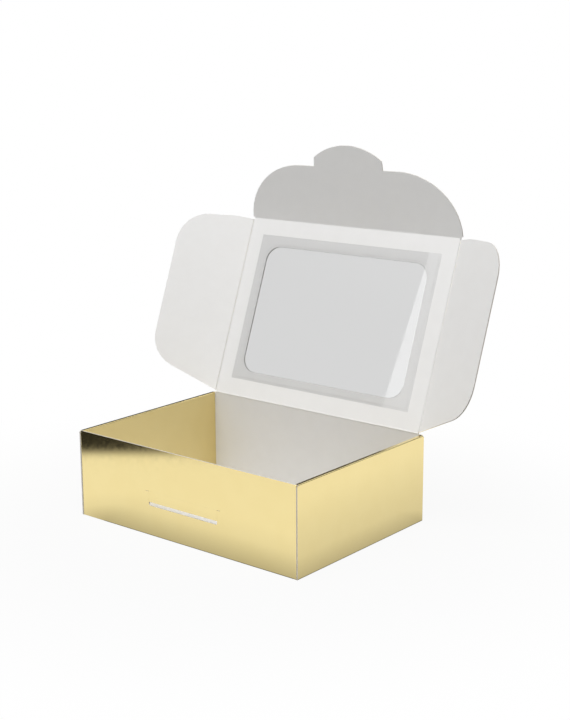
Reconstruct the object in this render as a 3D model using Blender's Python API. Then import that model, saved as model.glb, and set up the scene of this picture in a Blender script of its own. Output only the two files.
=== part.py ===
"""Folding gift carton with a hinged window lid, modelled panel by panel.

The carton is folded from one sheet of foil-laminated board: gold outside, white inside.
Every panel between two creases is an object of its own. A panel is drawn flat, in its own
XY plane, with its thickness along Z, and then stood up or folded by its object's rotation.
Frame: metres, +X to the right along the front, +Y to the back, +Z up. The origin is the
centre of the footprint, on the surface that the box stands on.
"""

import math

import bmesh
import bpy
from mathutils import Vector

# The box, outside
BOX_LENGTH = 0.350
BOX_WIDTH = 0.248
BOX_HEIGHT = 0.111

# The board, the gap between touching layers, the outer radius of a fixed fold, and the
# distance from the axis of a moving crease to the panels on both sides of it
BOARD = 0.0016
CLEARANCE = 0.0003
FOLD_RADIUS = 0.0012
CREASE_EDGE = 0.0016

# Corner flaps, held inside the double side walls
CORNER_FLAP_LENGTH = 0.095
CORNER_FLAP_TAPER = 0.014

# Locking tabs of the inner side walls
LOCK_FOOT_LENGTH = 0.040
LOCK_FOOT_SPREAD = 0.120
LOCK_FOOT_RADIUS = 0.0006

# Closing slot in the front wall, a little shorter than the tongue is wide, and the tab
# that its knife cuts free
SLOT_GRIP = 0.0002
SLOT_BOTTOM = 0.0382
SLOT_HEIGHT = 0.0044
SLOT_RADIUS = 0.0020
LOCK_TAB_TOP = 0.0562
KNIFE_CUT = 0.0004
KNIFE_TICK = 0.0050

# Lid, measured from the hinge on the back wall
LID_OPEN_DEG = 110.5
WINDOW_SIDE_BORDER = 0.0354
WINDOW_BACK_BORDER = 0.0357
WINDOW_FRONT_BORDER = 0.0379
WINDOW_RADIUS = 0.0210

# Clear film and its glue line, on the lid's inner face
FILM = 0.00025
GLUE = 0.0002
LAMINATE_GAP = 0.0001
FILM_SIDE_LAP = 0.0145
FILM_BACK_LAP = 0.0127
FILM_FRONT_LAP = 0.0150
GLUE_MARGIN = 0.0030

# Side flaps of the lid; tucked in, their tips stay clear of the base
FLAP_FOLD_DEG = 28.5
FLAP_BASE_GAP = 0.0073
FLAP_RADIUS = 0.0450
FLAP_BACK_SLANT_DEG = 16.7
FLAP_FRONT_SLANT_DEG = 7.1
FLAP_FRONT_RELIEF = 0.0256

# Closing flap with its tongue. Insets are measured from the ends of the box. Closed, the
# shoulders reach below the slot, and the tongue's tip stays above the surface below
CLOSING_FOLD_DEG = 28.5
CLOSING_INSET = 0.0045
CLOSING_CURVE_WIDTH = 0.0905
SHOULDER_OVERLAP = 0.0041
TONGUE_INSET = 0.1195
TONGUE_TAPER = 0.0010
TONGUE_SIDE_HEIGHT = 0.0122
TONGUE_TIP_GAP = 0.0042

# Shape controls
ARC_STEPS = 8
CURVE_STEPS = 14
BEAD_SIDES = 12
EDGE_SEGMENTS = 3
EDGE_ROUND_SHARE = 0.98
MERGE_DISTANCE = 0.00001
EDGE_TOLERANCE = 0.00005
SHARP_EDGE = math.radians(1)
SMOOTH_BELOW = math.radians(40)

# Colours: base colour, roughness and metallic value
GOLD_FOIL = ((0.83, 0.66, 0.30, 1.0), 0.22, 1.0)
WHITE_BOARD = ((0.86, 0.86, 0.85, 1.0), 0.55, 0.0)
CLEAR_FILM = ((0.85, 0.87, 0.88, 0.30), 0.05, 0.0)
DRY_GLUE = ((0.80, 0.80, 0.77, 1.0), 0.35, 0.0)

# Worked out from the sizes above
HALF_LENGTH = BOX_LENGTH / 2
HALF_WIDTH = BOX_WIDTH / 2
HALF_BOARD = BOARD / 2
LAYER = BOARD + CLEARANCE
WALL_STACK = BOARD + 2 * LAYER
BEAD_RADIUS = CREASE_EDGE - CLEARANCE
HINGE_Y = HALF_WIDTH - HALF_BOARD
HINGE_Z = BOX_HEIGHT + CLEARANCE + HALF_BOARD
LID_DEPTH = HINGE_Y + HALF_WIDTH + CLEARANCE + HALF_BOARD
CREASE_X = HALF_LENGTH - WALL_STACK - CLEARANCE - HALF_BOARD
LID_HALF = CREASE_X - CREASE_EDGE
TUCK_BACK = HINGE_Y - HALF_WIDTH + LAYER
TUCK_FRONT = HINGE_Y + HALF_WIDTH - LAYER
WALL_HALF = HALF_LENGTH - LAYER
SIDE_TOP = BOX_HEIGHT - LAYER
BASE_HALF_WIDTH = HALF_WIDTH - LAYER
HALF_WINDOW = LID_HALF - WINDOW_SIDE_BORDER
WINDOW_FRONT = LID_DEPTH - WINDOW_FRONT_BORDER
FLAP_WIDTH = HINGE_Z - BOARD - FLAP_BASE_GAP
CLOSING_HALF_WIDTH = HALF_LENGTH - CLOSING_INSET
SHOULDER_HEIGHT = HINGE_Z - SLOT_BOTTOM + SHOULDER_OVERLAP
HALF_TONGUE = HALF_LENGTH - TONGUE_INSET
HALF_SLOT = HALF_TONGUE - SLOT_GRIP

UPRIGHT = math.radians(90)


def clear_scene():
    """Remove the objects that the scene holds."""
    for obj in list(bpy.data.objects):
        bpy.data.objects.remove(obj, do_unlink=True)


def new_collection(name):
    """Make a collection and link it to the scene."""
    made = bpy.data.collections.new(name)
    bpy.context.scene.collection.children.link(made)
    return made


def dress(obj, finish):
    """Give an object a material of its own from a finish: colour, roughness, metallic."""
    colour, roughness, metallic = finish
    mat = bpy.data.materials.new(obj.name + "_finish")
    mat.use_nodes = True
    shader = mat.node_tree.nodes["Principled BSDF"]
    shader.inputs["Base Color"].default_value = colour
    shader.inputs["Roughness"].default_value = roughness
    shader.inputs["Metallic"].default_value = metallic
    shader.inputs["Alpha"].default_value = colour[3]
    mat.diffuse_color = colour
    obj.data.materials.clear()
    obj.data.materials.append(mat)


def rounded(corners, steps=ARC_STEPS):
    """Turn corners (x, y, radius) into outline points, each round corner as an arc."""
    points = []
    count = len(corners)
    for index, (x, y, radius) in enumerate(corners):
        here = Vector((x, y))
        if not radius:
            points.append(here)
            continue
        before = (Vector(corners[index - 1][:2]) - here).normalized()
        after = (Vector(corners[(index + 1) % count][:2]) - here).normalized()
        half_angle = before.angle(after) / 2
        middle = here + (before + after).normalized() * radius / math.sin(half_angle)
        start = here + before * radius / math.tan(half_angle) - middle
        sweep = start.angle_signed(here + after * radius / math.tan(half_angle) - middle)
        for step in range(steps + 1):
            turn = -sweep * step / steps
            x_turned = start.x * math.cos(turn) - start.y * math.sin(turn)
            y_turned = start.x * math.sin(turn) + start.y * math.cos(turn)
            points.append(middle + Vector((x_turned, y_turned)))
    return points


def rectangle(x_low, x_high, y_low, y_high, radius=0):
    """Corners of a rectangle, anticlockwise."""
    return [
        (x_low, y_low, radius),
        (x_high, y_low, radius),
        (x_high, y_high, radius),
        (x_low, y_high, radius),
    ]


def sheet(name, loops, thickness, finish, group):
    """Make a flat sheet from closed outlines: the first is its edge, the others are holes."""
    curve = bpy.data.curves.new(name + "_outline", "CURVE")
    curve.dimensions = "2D"
    curve.fill_mode = "BOTH"
    curve.extrude = thickness / 2
    for loop in loops:
        spline = curve.splines.new("POLY")
        spline.points.add(len(loop) - 1)
        for point, place in zip(spline.points, loop):
            point.co = (place[0], place[1], 0, 1)
        spline.use_cyclic_u = True
    drawn = bpy.data.objects.new(name + "_outline", curve)
    group.objects.link(drawn)
    bpy.context.view_layer.update()
    evaluated = drawn.evaluated_get(bpy.context.evaluated_depsgraph_get())
    mesh = bpy.data.meshes.new_from_object(evaluated)
    mesh.name = name
    bm = bmesh.new()
    bm.from_mesh(mesh)
    bmesh.ops.remove_doubles(bm, verts=bm.verts, dist=MERGE_DISTANCE)
    bmesh.ops.recalc_face_normals(bm, faces=bm.faces)
    bm.to_mesh(mesh)
    bm.free()
    made = bpy.data.objects.new(name, mesh)
    made.matrix_world = drawn.matrix_world
    group.objects.link(made)
    bpy.data.objects.remove(drawn, do_unlink=True)
    bpy.data.curves.remove(curve)
    dress(made, finish)
    return made


def round_edges(obj, radius, chosen):
    """Bevel the long edges of a sheet whose two ends pass the test chosen(point)."""
    bm = bmesh.new()
    bm.from_mesh(obj.data)
    edges = [
        edge
        for edge in bm.edges
        if all(chosen(vert.co) for vert in edge.verts)
        and edge.calc_face_angle(0) > SHARP_EDGE
        and abs(edge.verts[0].co.z - edge.verts[1].co.z) < EDGE_TOLERANCE
    ]
    bmesh.ops.bevel(
        bm,
        geom=edges,
        offset=radius,
        offset_type="OFFSET",
        segments=EDGE_SEGMENTS,
        profile=0.5,
        affect="EDGES",
        clamp_overlap=True,
    )
    bmesh.ops.remove_doubles(bm, verts=bm.verts, dist=MERGE_DISTANCE)
    bm.to_mesh(obj.data)
    bm.free()


def at(value, target):
    """Tell whether two lengths are the same."""
    return abs(value - target) < EDGE_TOLERANCE


def round_crease(obj, axis, target):
    """Round both edges of a sheet's creased side, the one at target on axis 0 or 1."""
    round_edges(obj, HALF_BOARD * EDGE_ROUND_SHARE, lambda co: at(co[axis], target))


def round_fold(obj, axis, target):
    """Round the outer edge of a fixed fold, where the sheet's outer face is at +Z."""
    round_edges(obj, FOLD_RADIUS, lambda co: at(co[axis], target) and co.z > 0)


def stand(obj, location, turn_deg=0.0):
    """Stand a sheet upright, its outer face towards -Y, and turn it about +Z."""
    obj.location = location
    obj.rotation_euler = (UPRIGHT, 0, math.radians(turn_deg))


def make_axis(name, parent, location, rotation, group):
    """Make an empty on a joint's axis."""
    axis = bpy.data.objects.new(name, None)
    group.objects.link(axis)
    axis.parent = parent
    axis.location = location
    axis.rotation_euler = rotation
    return axis


def make_bead(name, length, parent, location, along_x, group):
    """Make the scored band of a crease as a round bead on the crease's axis."""
    bpy.ops.mesh.primitive_cylinder_add(vertices=BEAD_SIDES, radius=BEAD_RADIUS, depth=length)
    bead = bpy.context.active_object
    bead.name = name
    bead.data.name = name
    for holder in list(bead.users_collection):
        holder.objects.unlink(bead)
    group.objects.link(bead)
    bead.parent = parent
    bead.location = location
    bead.rotation_euler = (0, UPRIGHT, 0) if along_x else (UPRIGHT, 0, 0)
    bead.data.shade_smooth()
    bead.data.set_sharp_from_angle(angle=SMOOTH_BELOW)
    dress(bead, WHITE_BOARD)
    return bead


def lock_foot_places():
    """Centres of an inner side wall's two locking tabs, along the wall."""
    return (-LOCK_FOOT_SPREAD / 2, LOCK_FOOT_SPREAD / 2)


def make_bottom(group):
    """Base of the box, with a slot for each locking tab of the inner side walls."""
    loops = [rounded(rectangle(-WALL_HALF, WALL_HALF, -BASE_HALF_WIDTH, BASE_HALF_WIDTH))]
    outer = HALF_LENGTH - 2 * LAYER + CLEARANCE
    inner = HALF_LENGTH - WALL_STACK - CLEARANCE
    half_slot = LOCK_FOOT_LENGTH / 2 + CLEARANCE
    for side in (-1, 1):
        low, high = sorted((side * inner, side * outer))
        for place in lock_foot_places():
            loops.append(rounded(rectangle(low, high, place - half_slot, place + half_slot)))
    bottom = sheet("bottom_panel", loops, BOARD, WHITE_BOARD, group)
    bottom.location = (0, 0, HALF_BOARD)


def slot_opening():
    """Outline of the front wall's opening: the slot, and the tab that the knife cuts free."""
    cut_low = LOCK_TAB_TOP - KNIFE_CUT
    tick_end = HALF_SLOT + KNIFE_TICK
    return [
        (-HALF_SLOT, SLOT_BOTTOM, SLOT_RADIUS),
        (HALF_SLOT, SLOT_BOTTOM, SLOT_RADIUS),
        (HALF_SLOT, cut_low, 0),
        (tick_end, cut_low, 0),
        (tick_end, LOCK_TAB_TOP, 0),
        (-tick_end, LOCK_TAB_TOP, 0),
        (-tick_end, cut_low, 0),
        (-HALF_SLOT, cut_low, 0),
    ]


def make_front(group):
    """Front wall with its closing slot, and the lock tab that hangs in the opening."""
    edge = rounded(rectangle(-WALL_HALF, WALL_HALF, 0, BOX_HEIGHT))
    front = sheet("front_wall", [edge, rounded(slot_opening())], BOARD, GOLD_FOIL, group)
    round_fold(front, 1, 0)
    for side in (-1, 1):
        round_fold(front, 0, side * WALL_HALF)
    stand(front, (0, HALF_BOARD - HALF_WIDTH, 0))

    axis_z = LOCK_TAB_TOP - KNIFE_CUT / 2
    half = HALF_SLOT - KNIFE_CUT
    top = -KNIFE_CUT / 2
    low = SLOT_BOTTOM + SLOT_HEIGHT - axis_z
    corners = rounded(rectangle(-half, half, low, top))
    tab = sheet("front_lock_tab", [corners], BOARD, GOLD_FOIL, group)
    round_crease(tab, 1, top)
    stand(tab, (0, HALF_BOARD - HALF_WIDTH, axis_z))


def make_back(group):
    """Back wall, rounded at the top where the lid's crease starts."""
    top = HINGE_Z - CREASE_EDGE
    back = sheet("back_wall", [rounded(rectangle(-WALL_HALF, WALL_HALF, 0, top))], BOARD, GOLD_FOIL, group)
    round_crease(back, 1, top)
    round_fold(back, 1, 0)
    for side in (-1, 1):
        round_fold(back, 0, side * WALL_HALF)
    stand(back, (0, HALF_WIDTH - HALF_BOARD, 0), 180)


def inner_wall_outline():
    """Edge of an inner side wall: a rectangle with two locking tabs at its foot."""
    half = BASE_HALF_WIDTH
    half_foot = LOCK_FOOT_LENGTH / 2
    corners = [(-half, SIDE_TOP, 0), (-half, LAYER, 0)]
    for place in lock_foot_places():
        corners += [
            (place - half_foot, LAYER, 0),
            (place - half_foot, CLEARANCE, LOCK_FOOT_RADIUS),
            (place + half_foot, CLEARANCE, LOCK_FOOT_RADIUS),
            (place + half_foot, LAYER, 0),
        ]
    corners += [(half, LAYER, 0), (half, SIDE_TOP, 0)]
    return rounded(corners)


def make_side(name, side, group):
    """Double side wall: outer layer, strip over the top and inner layer."""
    turn = 90 * side
    edge = rounded(rectangle(-HALF_WIDTH, HALF_WIDTH, 0, SIDE_TOP))
    outer = sheet(name + "_wall_outer", [edge], BOARD, GOLD_FOIL, group)
    round_fold(outer, 1, 0)
    stand(outer, (side * (HALF_LENGTH - HALF_BOARD), 0, 0), turn)

    inner = sheet(name + "_wall_inner", [inner_wall_outline()], BOARD, GOLD_FOIL, group)
    stand(inner, (side * (HALF_LENGTH - WALL_STACK + HALF_BOARD), 0, 0), turn)

    half = WALL_STACK / 2
    edge = rounded(rectangle(-half, half, -BASE_HALF_WIDTH, BASE_HALF_WIDTH))
    strip = sheet(name + "_wall_top", [edge], BOARD, GOLD_FOIL, group)
    for end in (-1, 1):
        round_fold(strip, 0, end * half)
    strip.location = (side * (HALF_LENGTH - half), 0, BOX_HEIGHT - HALF_BOARD)


def make_corner_flap(name, side, end, group):
    """Corner flap: end of the front (-1) or back (1) wall, folded in along a side wall."""
    low = LAYER + CLEARANCE
    high = SIDE_TOP - CLEARANCE
    root = BASE_HALF_WIDTH
    tip = root - CORNER_FLAP_LENGTH
    corners = [(root, low), (root, high), (tip, high - CORNER_FLAP_TAPER), (tip, low + CORNER_FLAP_TAPER)]
    loop = [Vector((side * end * along, up)) for along, up in corners]
    flap = sheet(name, [loop], BOARD, GOLD_FOIL, group)
    stand(flap, (side * (HALF_LENGTH - LAYER - HALF_BOARD), 0, 0), 90 * side)


def make_lid(group):
    """Lid panel with its window, on an empty at the hinge, with +Y along the lid."""
    axis = make_axis(
        "lid_axis", None, (0, HINGE_Y, HINGE_Z), (math.radians(180 - LID_OPEN_DEG), 0, 0), group
    )
    front = LID_DEPTH - CREASE_EDGE
    edge = rounded(rectangle(-LID_HALF, LID_HALF, CREASE_EDGE, front))
    window = rounded(
        rectangle(-HALF_WINDOW, HALF_WINDOW, WINDOW_BACK_BORDER, WINDOW_FRONT, WINDOW_RADIUS)
    )
    lid = sheet("lid_panel", [edge, window], BOARD, GOLD_FOIL, group)
    round_crease(lid, 1, CREASE_EDGE)
    round_crease(lid, 1, front)
    for side in (-1, 1):
        round_crease(lid, 0, side * LID_HALF)
    lid.parent = axis
    make_bead("lid_crease", 2 * LID_HALF, axis, (0, 0, 0), True, group)
    return axis


def make_window(axis, group):
    """Clear film behind the window, and the ring of glue that holds it."""
    side = HALF_WINDOW + FILM_SIDE_LAP
    back = WINDOW_BACK_BORDER - FILM_BACK_LAP
    front = WINDOW_FRONT + FILM_FRONT_LAP
    glue_edge = rounded(
        rectangle(-side + GLUE_MARGIN, side - GLUE_MARGIN, back + GLUE_MARGIN, front - GLUE_MARGIN)
    )
    hole_side = HALF_WINDOW + GLUE_MARGIN
    hole_front = WINDOW_FRONT + GLUE_MARGIN
    glue_hole = rounded(
        rectangle(-hole_side, hole_side, WINDOW_BACK_BORDER - GLUE_MARGIN, hole_front, WINDOW_RADIUS)
    )
    glue = sheet("window_glue", [glue_edge, glue_hole], GLUE, DRY_GLUE, group)
    glue.parent = axis
    glue.location = (0, 0, HALF_BOARD + LAMINATE_GAP + GLUE / 2)
    film = sheet("window_film", [rounded(rectangle(-side, side, back, front))], FILM, CLEAR_FILM, group)
    film.parent = axis
    film.location = (0, 0, HALF_BOARD + 2 * LAMINATE_GAP + GLUE + FILM / 2)


def make_side_flap(name, side, lid_axis, group):
    """Side flap of the lid with its crease: X runs along the crease, Y across the flap."""
    fold = make_axis(
        name + "_flap_axis",
        lid_axis,
        (side * CREASE_X, 0, 0),
        (math.radians(FLAP_FOLD_DEG), 0, -side * UPRIGHT),
        group,
    )
    back_slope = math.tan(math.radians(FLAP_BACK_SLANT_DEG))
    front_slope = math.tan(math.radians(FLAP_FRONT_SLANT_DEG))
    front_at_tip = TUCK_FRONT - front_slope * (FLAP_WIDTH - FLAP_FRONT_RELIEF)
    corners = [
        (TUCK_BACK + back_slope * CREASE_EDGE, CREASE_EDGE, 0),
        (TUCK_BACK + back_slope * FLAP_WIDTH, FLAP_WIDTH, FLAP_RADIUS),
        (front_at_tip, FLAP_WIDTH, FLAP_RADIUS),
        (TUCK_FRONT, FLAP_FRONT_RELIEF, 0),
        (TUCK_FRONT, CREASE_EDGE, 0),
    ]
    loop = rounded([(-side * along, across, radius) for along, across, radius in corners])
    flap = sheet(name + "_lid_flap", [loop], BOARD, GOLD_FOIL, group)
    round_crease(flap, 1, CREASE_EDGE)
    flap.parent = fold

    start = TUCK_BACK + CREASE_EDGE
    length = TUCK_FRONT - start
    middle = -side * (start + length / 2)
    make_bead(name + "_flap_crease", length, fold, (middle, 0, 0), True, group)


def closing_flap_outline():
    """Edge of the closing flap: elliptical shoulders, then the tongue with its round end."""
    half_tip = HALF_TONGUE - TONGUE_TAPER
    curve_middle = CLOSING_HALF_WIDTH - CLOSING_CURVE_WIDTH
    right = []
    lowest = math.asin(CREASE_EDGE / SHOULDER_HEIGHT)
    for step in range(CURVE_STEPS + 1):
        turn = lowest + (UPRIGHT - lowest) * step / CURVE_STEPS
        across = curve_middle + CLOSING_CURVE_WIDTH * math.cos(turn)
        right.append(Vector((across, SHOULDER_HEIGHT * math.sin(turn))))
    right.append(Vector((HALF_TONGUE, SHOULDER_HEIGHT)))
    tip = HINGE_Z - TONGUE_TIP_GAP
    rise = tip - SHOULDER_HEIGHT - TONGUE_SIDE_HEIGHT
    radius = (half_tip**2 + rise**2) / (2 * rise)
    widest = math.asin(half_tip / radius)
    for step in range(ARC_STEPS + 1):
        turn = widest * (1 - step / ARC_STEPS)
        right.append(Vector((radius * math.sin(turn), tip - radius * (1 - math.cos(turn)))))
    left = [Vector((-point.x, point.y)) for point in reversed(right[:-1])]
    return right + left


def make_closing_flap(lid_axis, group):
    """Closing flap at the lid's front edge, with its crease."""
    fold = make_axis(
        "closing_flap_axis",
        lid_axis,
        (0, LID_DEPTH, 0),
        (math.radians(CLOSING_FOLD_DEG), 0, 0),
        group,
    )
    flap = sheet("closing_flap", [closing_flap_outline()], BOARD, GOLD_FOIL, group)
    round_crease(flap, 1, CREASE_EDGE)
    flap.parent = fold
    make_bead("closing_flap_crease", 2 * LID_HALF, fold, (0, 0, 0), True, group)


def main():
    """Build the carton in its open state."""
    clear_scene()
    group = new_collection("window_gift_carton")
    make_bottom(group)
    make_front(group)
    make_back(group)
    for name, side in (("left", -1), ("right", 1)):
        make_side(name, side, group)
        make_corner_flap("front_" + name + "_corner_flap", side, -1, group)
        make_corner_flap("back_" + name + "_corner_flap", side, 1, group)
    lid_axis = make_lid(group)
    make_window(lid_axis, group)
    for name, side in (("left", -1), ("right", 1)):
        make_side_flap(name, side, lid_axis, group)
    make_closing_flap(lid_axis, group)
    bpy.context.view_layer.update()


main()
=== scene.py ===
"""Looks of an open gift carton: foil board outside, white liner inside, a window lid with flaps.

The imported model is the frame. Each board panel is traced from its CAD node and refined, the rolled
side walls, the scored beads and the window film are modelled here, and every finish is procedural.
Lengths are in metres.
"""

from __future__ import annotations

import logging
import math
from collections.abc import Callable
from dataclasses import dataclass, field
from enum import Enum

import bmesh
import bpy
from mathutils import Matrix, Vector


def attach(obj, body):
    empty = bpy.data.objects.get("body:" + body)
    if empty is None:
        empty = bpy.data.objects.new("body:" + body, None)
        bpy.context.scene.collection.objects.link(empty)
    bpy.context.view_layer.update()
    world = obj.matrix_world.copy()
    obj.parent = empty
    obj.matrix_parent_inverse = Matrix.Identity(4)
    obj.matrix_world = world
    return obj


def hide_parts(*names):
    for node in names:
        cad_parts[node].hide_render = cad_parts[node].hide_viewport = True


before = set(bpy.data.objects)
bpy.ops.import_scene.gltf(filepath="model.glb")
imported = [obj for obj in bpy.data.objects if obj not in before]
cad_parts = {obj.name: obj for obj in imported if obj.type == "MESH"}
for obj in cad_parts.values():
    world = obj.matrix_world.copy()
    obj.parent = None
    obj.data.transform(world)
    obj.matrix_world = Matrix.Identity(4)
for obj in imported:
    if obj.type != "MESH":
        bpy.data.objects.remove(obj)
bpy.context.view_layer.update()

Pair = tuple[float, float]
Triple = tuple[float, float, float]
Colour = Triple

LOG = logging.getLogger("carton")
X_AXIS = Vector((1, 0, 0))
Y_AXIS = Vector((0, 1, 0))
Z_AXIS = Vector((0, 0, 1))
# Lengths below which two places are one: on a drawn plane, in a row of points, welded, on a cut.
HAIR = 0.00003
ROW = 0.000004
WELD = 0.000002
ON_CUT = 0.000001
# The board's edges that are sharper than this are cut edges.
CUT_ANGLE = math.radians(60)
# Cosine from which two directions are one.
SAME_WAY = 0.999
# Faces that lie within this angle are one flat.
FLAT_ANGLE = math.radians(0.5)
# Edges that are sharper than this stay sharp in the shading.
SHADE_ANGLE = math.radians(38)
# Specular level of coated paper and dried glue.
COATED = 0.35


class Side(Enum):
    """Left and right of the carton, as the sign of X."""

    LEFT = -1
    RIGHT = 1

    @property
    def word(self) -> str:
        """Name of the side in the model's node names."""
        return self.name.lower()


class Skin(Enum):
    """Material slots of a piece of board, in their order on the mesh."""

    FOIL = 0
    LINER = 1
    CORE = 2


@dataclass(frozen=True)
class Sizes:
    """Sizes of the carton.

    Most repeat the named values of the CAD source, which this script can't read. Those from
    near_base on are the scene's own.

    Attributes:
        near_base: Height below which a place of a side wall is at its foot.
        flute_pitch: Distance between two flutes of the board.
        hinge_hollow: Radius that lid and back wall keep from the axis of the crease between them.
        tuck_relief: Half of the sharpest angle between the lid and a tucked side flap.
        bead_end: Distance that a bead keeps from the next crease's axis.
        cut_edge, cut_steps: Width and segments of the softened cut edges.
    """

    length: float = 0.350
    width: float = 0.248
    height: float = 0.111
    board: float = 0.0016
    clearance: float = 0.0003
    fold_radius: float = 0.0012
    crease_edge: float = 0.0016
    lid_open: float = math.radians(110.5)
    flap_fold: float = math.radians(28.5)
    window_back: float = 0.0357
    window_front: float = 0.2104
    half_window: float = 0.1315
    window_radius: float = 0.0210
    film: float = 0.00025
    film_gap: float = 0.0004
    film_side: float = 0.0145
    film_back: float = 0.0127
    film_front: float = 0.0150
    half_slot: float = 0.0553
    tab_top: float = 0.0562
    knife_cut: float = 0.0004
    foot_length: float = 0.040
    foot_spread: float = 0.120
    near_base: float = 0.01
    flute_pitch: float = 0.0033
    hinge_hollow: float = 0.00136
    tuck_relief: float = math.radians(29.25)
    bead_end: float = 0.0009
    cut_edge: float = 0.00010
    cut_steps: int = 2

    @property
    def layer(self) -> float:
        """Board and the clearance to the next layer."""
        return self.board + self.clearance

    @property
    def wall_stack(self) -> float:
        """Thickness of a rolled side wall."""
        return self.board + 2 * self.layer

    @property
    def lid_depth(self) -> float:
        """Distance from the lid's crease to the closing flap's crease."""
        return self.width + self.clearance

    @property
    def crease_x(self) -> float:
        """Distance of a side flap's crease from the middle of the lid."""
        return self.length / 2 - self.wall_stack - self.clearance - self.board / 2

    @property
    def half_film(self) -> float:
        """Half of the film's width."""
        return self.half_window + self.film_side

    @property
    def film_low(self) -> float:
        """Distance from the lid's crease to the film's back edge."""
        return self.window_back - self.film_back

    @property
    def film_high(self) -> float:
        """Distance from the lid's crease to the film's front edge."""
        return self.window_front + self.film_front


@dataclass(frozen=True)
class Plane:
    """A board panel's own frame: a point on its crease's axis, and its directions.

    Attributes:
        along: Direction away from the crease.
        inner: Direction that the white side faces.
    """

    origin: Vector
    along: Vector
    inner: Vector

    def at(self, x: float, run: float, rise: float = 0.0) -> Vector:
        """Place at x, a run from the crease and a rise from the middle plane to the white side."""
        return Vector((x, self.origin.y, self.origin.z)) + self.along * run + self.inner * rise

    def turned(self, run: float, angle: float) -> Plane:
        """Frame of a panel that folds in from this one across the carton.

        Args:
            run: Where its crease is on this panel.
            angle: How far it folds to the white side.

        Returns:
            The folded panel's frame.
        """
        along = self.along * math.cos(angle) + self.inner * math.sin(angle)
        inner = self.inner * math.cos(angle) - self.along * math.sin(angle)
        return Plane(self.at(self.origin.x, run), along, inner)


SIZES = Sizes()
LID = Plane(
    Vector((0, (SIZES.width - SIZES.board) / 2, SIZES.height + SIZES.clearance + SIZES.board / 2)),
    Vector((0, -math.cos(SIZES.lid_open), math.sin(SIZES.lid_open))),
    Vector((0, -math.sin(SIZES.lid_open), -math.cos(SIZES.lid_open))),
)
CLOSING = LID.turned(SIZES.lid_depth, SIZES.flap_fold)


def side_flap_plane(side: Side) -> Plane:
    """Frame of a side flap.

    Args:
        side: Which of the two flaps.

    Returns:
        Its frame, with the crease's line through the origin along the lid.
    """
    outward = X_AXIS * side.value
    along = outward * math.cos(SIZES.flap_fold) + LID.inner * math.sin(SIZES.flap_fold)
    inner = LID.inner * math.cos(SIZES.flap_fold) - outward * math.sin(SIZES.flap_fold)
    return Plane(LID.at(side.value * SIZES.crease_x, 0.0), along, inner)


# --- Shader arithmetic ---


class Wire:
    """A number in a node tree, which takes part in Python arithmetic."""

    def __init__(self, mix: Mixture, socket: bpy.types.NodeSocket) -> None:
        """Wrap a socket of a mixture's tree."""
        self.mix = mix
        self.socket = socket

    def _math(self, operation: str, *values: Wire | float) -> Wire:
        """Add a Math node of an operation, with its inputs in order."""
        return self.mix.node("ShaderNodeMath", {"operation": operation}, dict(enumerate(values)))

    def __add__(self, other: Wire | float) -> Wire:
        """Sum."""
        return self._math("ADD", self, other)

    __radd__ = __add__

    def __sub__(self, other: Wire | float) -> Wire:
        """Difference."""
        return self._math("SUBTRACT", self, other)

    def __rsub__(self, other: Wire | float) -> Wire:
        """Difference, from a plain number."""
        return self._math("SUBTRACT", other, self)

    def __mul__(self, other: Wire | float) -> Wire:
        """Product."""
        return self._math("MULTIPLY", self, other)

    __rmul__ = __mul__

    def __abs__(self) -> Wire:
        """Absolute value."""
        return self._math("ABSOLUTE", self)

    def sine(self) -> Wire:
        """Sine."""
        return self._math("SINE", self)

    def root(self) -> Wire:
        """Square root."""
        return self._math("SQRT", self)

    def larger(self, other: Wire | float) -> Wire:
        """The larger of two numbers."""
        return self._math("MAXIMUM", self, other)

    def smaller(self, other: Wire | float) -> Wire:
        """The smaller of two numbers."""
        return self._math("MINIMUM", self, other)

    def step(self, low: float, high: float) -> Wire:
        """Smooth step.

        Args:
            low: Where it leaves 0.
            high: Where it reaches 1; below low, the step runs down.

        Returns:
            A number from 0 to 1.
        """
        if low > high:
            return 1 - self.step(high, low)
        ramp = {"interpolation_type": "SMOOTHSTEP"}
        values = {"Value": self, "From Min": low, "From Max": high}
        return self.mix.node("ShaderNodeMapRange", ramp, values)

    def between(self, low: float, high: float) -> Wire:
        """The number that lies this share of the way from low to high."""
        return low + (high - low) * self


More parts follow.
